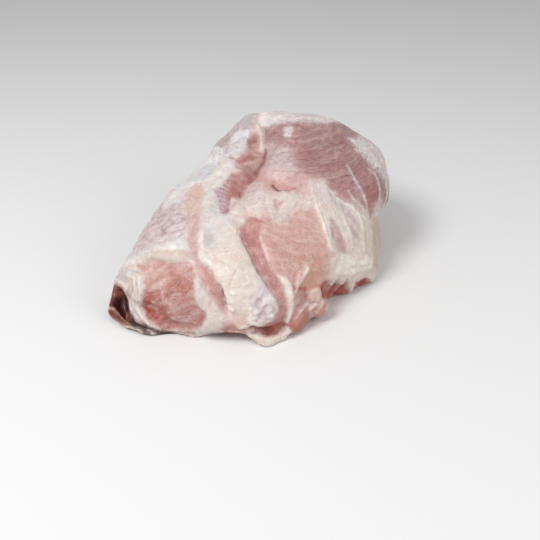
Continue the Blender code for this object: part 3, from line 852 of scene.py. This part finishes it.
for streak, wide in (
        (((312.8, 194), (316.7, 206), (321, 218), (325.5, 232), (329.5, 246), (334, 258)), 1.3),
        (((337.5, 198.7), (349.4, 207), (359, 215), (368.6, 221.5)), 1.0),
        (((327, 186), (338, 203), (345, 222), (351, 248)), (0.2, 0.8, 1.0, 0.8)),
        (((350, 205), (358, 216), (362, 228), (363, 250)), 1.0),
        (((369, 222), (371, 236), (372, 256), (371, 268)), 1.0)):
    streak_mask = band(streak, wide, 1.5, 0.3, 4)
    tinge(0.95 * streak_mask, "#f0e7dc")
    lift += 0.9 * streak_mask
tint([(340, 252), (352, 256), (366, 256), (374, 262), (374, 276), (352, 282), (334, 276)], "#fffbee", 0.7,
    4, 2, 4)
# Darker along the right edge, partly the fascia's tone and partly painted shade where the side turns away.
tint([(374, 218), (390, 212), (390, 245), (388, 272), (375, 272)], "#c6b0a4", 0.8, 2.5, 1.5)
string(patch(rib_rim, 2), squeezed(at, picture_up * 0.93 - picture_right * 0.36, 0.16), 0.28)
fold(((351, 267), (360, 266), (368.6, 264.5)), 1.1, 0.7, "#b5a08f", 0.7)
fold(((345, 258), (354, 260), (364, 257)), 1.1, 0.5, "#cdbcae", 0.5)
fold(((372, 222), (377, 236), (378, 250)), 1.1, 0.6, "#c9b0a2", 0.6)

# Front corner on the right
# Red-brown ends of meat under the ragged fat, a small round lobe, a nub with a white rim, and a red lobe.
ends_rim = [(322, 284), (331, 279), (338, 285), (347.5, 282), (349, 293), (356, 283), (369, 277),
    (378, 281), (372, 292), (352, 298), (336, 306), (326, 300), (320, 292)]
ends = muscle(ends_rim, "#af5b50", 1.8, 0.8, 4, cleared=1.0, bared=0.5)
# Raised lumps of the ends are painted lighter and the dips between them darker, as painted light and shade.
torn_ends = lumps(at, 4.6, 3.9)
stain(0.7 * ends * step(torn_ends * 2.4), "#c08d80")
stain(0.7 * ends * step(-torn_ends * 2.4 - 0.2), "#8a372f")
lift += 1.6 * (ends * torn_ends - blurred(ends, 3))
for tuft in ([(328, 276), (336, 277), (334, 283), (331, 289), (329, 282)],
             [(337, 276), (345, 277), (342, 284), (340, 287), (338, 282)],
             [(346, 277), (356, 277), (353, 287), (350, 296), (348, 287)],
             [(366, 272), (377, 270), (376, 279), (373, 285), (369, 279)],
             [(357, 274), (363, 274), (360, 281)]):
    raise_fat(from_outline(tuft), "#e2d4c8", 1.2, 2, 0.5, 3)
corner = muscle([(292, 284), (308, 288), (322, 284), (324, 300), (310, 308), (290, 326), (286, 312),
    (290, 298)], "#b87061", 3, 1.5, 5)
stain(0.6 * corner * step(lumpy(5, 4.7) * 2), "#cf9f92")
lobe_rim = [(307, 292), (312, 287), (319, 287), (322, 293), (319, 301), (310, 302)]
lift += 1.6 * muscle(lobe_rim, "#d3a898", 1.8, 0.7, 4)
blush([(309, 289), (316, 288), (317, 292), (310, 294)], "#e3c0b2", 0.6, 2, 0.6)
nub_rim = [(308, 308), (314, 303), (321, 299), (329, 302), (326, 312), (319, 319), (312, 312)]
lift += 1.4 * muscle(nub_rim, "#c98f83", 2, 0.7, 4)
lay_fat(stroke(((309, 309), (315, 303.5), (321, 300.5), (328, 303)), 0.8), "#efe6dd", 0.4)
for line, wide in ((((321, 301), (320, 306), (316, 311)), 0.5), (((326, 304), (325, 309)), 0.6)):
    lay_fat(stroke(line, wide), "#e6d8cc", 0.4)
fold(((309, 311), (313, 309), (318, 309)), 1.0, 1.0, "#8c4a42", 0.7)
red_lobe_rim = [(284, 322), (290, 312), (300, 306), (310, 308), (309, 318), (300, 330), (286, 334)]
red_lobe = muscle(red_lobe_rim, "#b77367", 2, 0.7, 4)
blush([(286, 326), (298, 324), (300, 332), (286, 335)], "#a8625a", 0.5, within=red_lobe)
lift += 1.4 * red_lobe
blush([(290, 322), (300, 312), (304, 314), (296, 326)], "#cf9d92", 0.6)
lay_fat(stroke(((294, 317), (299, 311), (305, 305), (310, 303)), 0.5), "#eadcd2", 0.4)
fold(((305, 290), (305.5, 297), (309, 302.5), (318, 302), (322, 297)), 1.3, 1.2, "#8c5044", 0.75)
fold(((290, 314), (295, 308), (301, 304), (308, 302)), 1.3, 1.2, "#8f5247", 0.7)
fold(((309, 316), (305, 322), (300, 329)), 1.0, 0.8, "#8f5247", 0.5)
fold(((299, 287), (303, 292), (301, 300)), 1.0, 0.6, "#a0655a", 0.5)
tendon_line = ((279, 276), (285, 282), (289.5, 292.7), (290.5, 308), (286, 321))
tendon = stroke(tendon_line, (0.8, 2.4, 2.3, 2.1, 1.0))
raise_fat(tendon, "#ede1d4", 1.5, 3, 0.5)
tinge(step(0.5 - tendon / 1.5), "#f3e9de")
long_strand = stroke(((307, 269), (303, 276), (298.5, 284), (295.5, 292)), (1.9, 1.3, 0.9, 0.4))
short_strand = stroke(((300, 272), (298.5, 279), (296, 286)), (0.3, 0.9, 0.2))
raise_fat(np.minimum(long_strand, short_strand), "#ebddd1", 1.0, 3, 0.5)
fold(((297, 276), (294.5, 284), (293.5, 294)), 1.0, 0.7, "#b06f61", 0.6)
fold(((308, 275), (303, 284), (299, 291)), 1.0, 0.7, "#b06f61", 0.5)
tab_rim = [(247, 334), (256, 336), (266, 338), (276, 336), (285, 326), (290, 330), (286, 340), (276, 350),
    (256, 350), (247, 340)]
raise_fat(from_outline(tab_rim), "#f0e3d7", 1.2, 3, 0.7)
fold(((252, 338), (260, 341), (268, 342)), 1.0, 0.6, "#c39c8c", 0.6)
fold(((276, 341), (281, 336), (284, 331)), 1.0, 0.6, "#b07f70", 0.6)

# Relief
# Fat stands proud of the meat and is lumpy, and membranes are finely crumpled. Fibres fade where
# two directions meet, and soft sags and swellings bring the outline to the real one's.
FIBRE_BREAK = 2.5
for strength, length, shift, less, code in (
        (0.32, 8, 0.4, 0.1, "#dfc0b5"), (0.18, 3.2, 6.7, 0.3, "#dcc2b6"), (0.4, 4.5, 1.9, 0.4, "#f0e8e2")):
    tinge(strength * step(lumpy(length, shift) * 2 - less), code)
flow_jumps = np.linalg.norm(flow[edges[:, 0]] - flow[edges[:, 1]], axis=1) > FIBRE_BREAK
jump = np.zeros(count)
jump[edges[flow_jumps].ravel()] = 1
calm = 1 - step(np.maximum(jump, 1.5 * blurred(jump, 3)))
fibre *= calm
thread *= calm
fat_here = step(fat_depth / 2.4 + 0.45)
lift += fat_here * (0.9 + 0.35 * lumpy(7, 4.2))
lift += (1 - fat_here) * film * 0.3 * (1 - 2.5 * np.abs(lumpy(5, 6.4)))
lift += 0.6 * lumpy(13, 7.1) + 0.22 * lumps(at, 3.1, 9.9)
lift -= 0.22 * (fat_here + film) * np.clip(1 - 3 * np.abs(lumpy(4.8, 2.9)), 0, 1)
for pixel, half_sizes, rise, soft in (
        ((222, 136), (26, 22, 24), -2.6, 0.8), ((216, 148), (12, 12, 12), 2.0, 0.8),
        ((205, 168), (11, 11, 11), -2.2, 0.8), ((134, 226), (30, 30, 24), -2.2, 0.8),
        ((384, 245), (20, 20, 26), -3.0, 0.8), ((228, 341), (17, 17, 15), -3.8, 0.9),
        ((124, 334), (14, 14, 12), -2.5, 0.8), ((248, 346), (10, 10, 9), -3.0, 0.9),
        ((280, 343), (8, 8, 8), -1.5, 0.9)):
    lift += rise * zone(seen(pixel)[0], half_sizes, soft)
at += out * blurred(lift, 1)[:, None]
at[:, 2] = np.maximum(at[:, 2], 0)
skin.vertices.foreach_set("co", (at / MM).astype(np.float32).ravel())
skin.update()

collar_meat = bpy.data.objects.new("collar_meat", skin)
bpy.context.scene.collection.objects.link(collar_meat)
skin.polygons.foreach_set("use_smooth", np.ones(len(skin.polygons), bool))
for name, values in (("meat", meat), ("cover", cover)):
    layer = skin.attributes.new(name, "FLOAT_COLOR", "POINT")
    values = np.column_stack([np.clip(values, 0, 1), np.ones(count)])
    layer.data.foreach_set("color", values.astype(np.float32).ravel())
layer = skin.attributes.new("flow", "FLOAT_VECTOR", "POINT")
layer.data.foreach_set("vector", flow.astype(np.float32).ravel())
for name, values in (
        ("fat_depth", np.clip(fat_depth, -4, 4)), ("film", film), ("fibre", fibre), ("thread", thread)):
    layer = skin.attributes.new(name, "FLOAT", "POINT")
    layer.data.foreach_set("value", values.astype(np.float32))

# Wet surface
# Raw meat, waxy fat and thin film have one moist skin. Grain, fibres, wisps and pale threads are
# finer than the mesh, so the material makes them, along each point's flow.
STRANDS_PER_MM = 0.75
THREADS_PER_MM = 0.21
GRAINS_PER_METRE = 900.0
TEARS_PER_METRE = 330.0
MOTTLES_PER_METRE = 300.0
WISPS_PER_METRE = 150.0
GAPS_PER_METRE = 120.0
BLOTCHES_PER_METRE = 90.0
BUMP_DEPTH = 0.0016


class Wire:
    """A shader socket that plain arithmetic works on."""

    tree = None

    def __init__(self, socket):
        self.socket = socket

    @classmethod
    def node(cls, kind, settings=None, inputs=None, output=0):
        """A new node of any kind, its settings made before its sockets are filled."""
        made = cls.tree.nodes.new(kind)
        for name, value in (settings or {}).items():
            setattr(made, name, value)
        for name, value in (inputs or {}).items():
            if isinstance(value, Wire):
                cls.tree.links.new(value.socket, made.inputs[name])
            else:
                made.inputs[name].default_value = value
        return cls(made.outputs[output])

    @classmethod
    def math(cls, operation, *values, clamp=False):
        settings = {"operation": operation, "use_clamp": clamp}
        return cls.node("ShaderNodeMath", settings, dict(enumerate(values)))

    @classmethod
    def mix(cls, factor, a, b):
        return cls.node("ShaderNodeMix", {"data_type": "RGBA"}, {0: factor, 6: a, 7: b}, 2)

    def scaled(self, amount):
        return self.node("ShaderNodeVectorMath", {"operation": "SCALE"}, {0: self, "Scale": amount})

    def clamped(self):
        return self.math("ADD", self, 0.0, clamp=True)

    def size(self):
        return self.math("ABSOLUTE", self)

    def __add__(self, other):
        return self.math("ADD", self, other)

    __radd__ = __add__

    def __sub__(self, other):
        return self.math("SUBTRACT", self, other)

    def __rsub__(self, other):
        return self.math("SUBTRACT", other, self)

    def __mul__(self, other):
        return self.math("MULTIPLY", self, other)

    __rmul__ = __mul__


def painted(name, output="Fac"):
    """What was laid on the skin's points under a name."""
    return Wire.node("ShaderNodeAttribute", {"attribute_name": name}, output=output)


def specks(where, scale, detail=2.0, roughness=0.5):
    """Fine noise round 0.5, with about so many specks in a unit of the places given."""
    return Wire.node("ShaderNodeTexNoise", None, {
        "Vector": where, "Scale": scale, "Detail": detail, "Roughness": roughness})


def over(factor, colour, code):
    """A colour with a screen colour laid over it."""
    return Wire.mix(factor, colour, (*shade(code), 1))


material = bpy.data.materials.new("raw_pork")
material.use_nodes = True
Wire.tree = material.node_tree
shader = material.node_tree.nodes["Principled BSDF"]
place = Wire.node("ShaderNodeTexCoord", output="Object")
run = painted("flow", "Vector")
strands = specks(run, STRANDS_PER_MM, 4.0, 0.6)
lines = (1.0 - 16.0 * (specks(run, THREADS_PER_MM) - 0.5).size()).clamped()
lines = lines * (2.4 * specks(place, GAPS_PER_METRE) - 0.7).clamped()
grain = specks(place, GRAINS_PER_METRE)
mottle = specks(place, MOTTLES_PER_METRE, 4.0, 0.6)
blotch = specks(place, BLOTCHES_PER_METRE, 3.0)
torn = specks(place, TEARS_PER_METRE, 5.0, 0.7)
wisps = (1.0 - 9.0 * (specks(place, WISPS_PER_METRE, 3.0, 0.6) - 0.5).size()).clamped()

fat_inside = painted("fat_depth") + (torn - 0.5) * 4.5
fat_mask = (fat_inside * 0.65 + 0.5).clamped()
film_mask = (painted("film") * (1.9 * mottle - 0.15) + (fat_inside * 0.3 + 0.75).clamped() * 0.55).clamped()
fibre_here = painted("fibre")
streaky = fibre_here * (strands - 0.5)
lean_light = 0.46 + 0.46 * grain + 0.46 * mottle + streaky * 1.5
threads_here = lines * painted("thread")
lean = over(threads_here * 0.75, painted("meat", "Color").scaled(lean_light), "#e6d2cb")
veiled = over(film_mask * 0.6, lean, "#e6dcdc")
fat_light = 0.53 + 0.24 * blotch + 0.30 * mottle + 0.22 * grain + streaky * 0.9
waxy = over(wisps * 0.22, painted("cover", "Color").scaled(fat_light), "#c9a597")
height = 0.08 * fat_mask + 0.55 * mottle + 0.22 * grain + streaky * 1.3 + threads_here * 0.25
for name, wire in (
        ("Base Color", Wire.mix(fat_mask, veiled, waxy)),
        ("Roughness", 0.26 + 0.24 * mottle + 0.08 * fat_mask),
        ("Normal", Wire.node("ShaderNodeBump", None, {"Height": height, "Distance": BUMP_DEPTH}))):
    material.node_tree.links.new(wire.socket, shader.inputs[name])
for name, value in (
        ("Subsurface Weight", 0.12), ("Subsurface Radius", (1.0, 0.45, 0.3)), ("Subsurface Scale", 0.0025),
        ("Specular IOR Level", 0.3), ("Coat Weight", 0.12), ("Coat Roughness", 0.16)):
    shader.inputs[name].default_value = value
skin.materials.append(material)
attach(collar_meat, "root")
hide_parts("pork_collar")

# Floor
# A plain pale sheet, wide enough to fill the picture from any side.
FLOOR_HALF = 6.0
FLOOR_DEPTH = -0.0003
FLOOR_GREY = (0.80, 0.80, 0.80, 1)
FLOOR_ROUGHNESS = 0.9
floor_mesh = bpy.data.meshes.new("floor")
floor_mesh.from_pydata(
    [(x * FLOOR_HALF, y * FLOOR_HALF, FLOOR_DEPTH) for x, y in ((-1, -1), (1, -1), (1, 1), (-1, 1))],
    [], [(0, 1, 2, 3)])
floor = bpy.data.objects.new("floor", floor_mesh)
bpy.context.scene.collection.objects.link(floor)
floor_paint = bpy.data.materials.new("floor_pale")
floor_paint.use_nodes = True
floor_shader = floor_paint.node_tree.nodes["Principled BSDF"]
floor_shader.inputs["Base Color"].default_value = FLOOR_GREY
floor_shader.inputs["Roughness"].default_value = FLOOR_ROUGHNESS
floor_mesh.materials.append(floor_paint)

# Light
# One broad lamp up and to the left of the camera, a weak one from the right, and an even sky.
LAMPS = (
    ("key", (-0.75, 0.0, 0.95), 0.4, 9.0),
    ("fill", (0.2, -0.9, 0.6), 0.6, 2.8))
LIT_POINT = Vector((0, 0, 0.04))
SKY_STRENGTH = 0.46
for name, glint_spot, size, power in LAMPS:
    lamp_data = bpy.data.lights.new(name, "AREA")
    lamp_data.size = size
    lamp_data.energy = power
    lamp = bpy.data.objects.new(name, lamp_data)
    lamp.location = glint_spot
    lamp.rotation_mode = "QUATERNION"
    lamp.rotation_quaternion = (LIT_POINT - Vector(glint_spot)).to_track_quat("-Z", "Y")
    bpy.context.scene.collection.objects.link(lamp)
sky = bpy.data.worlds.new("sky")
sky.use_nodes = True
background = sky.node_tree.nodes["Background"]
background.inputs["Color"].default_value = (1, 1, 1, 1)
background.inputs["Strength"].default_value = SKY_STRENGTH
bpy.context.scene.world = sky
bpy.context.scene.view_settings.view_transform = "Standard"
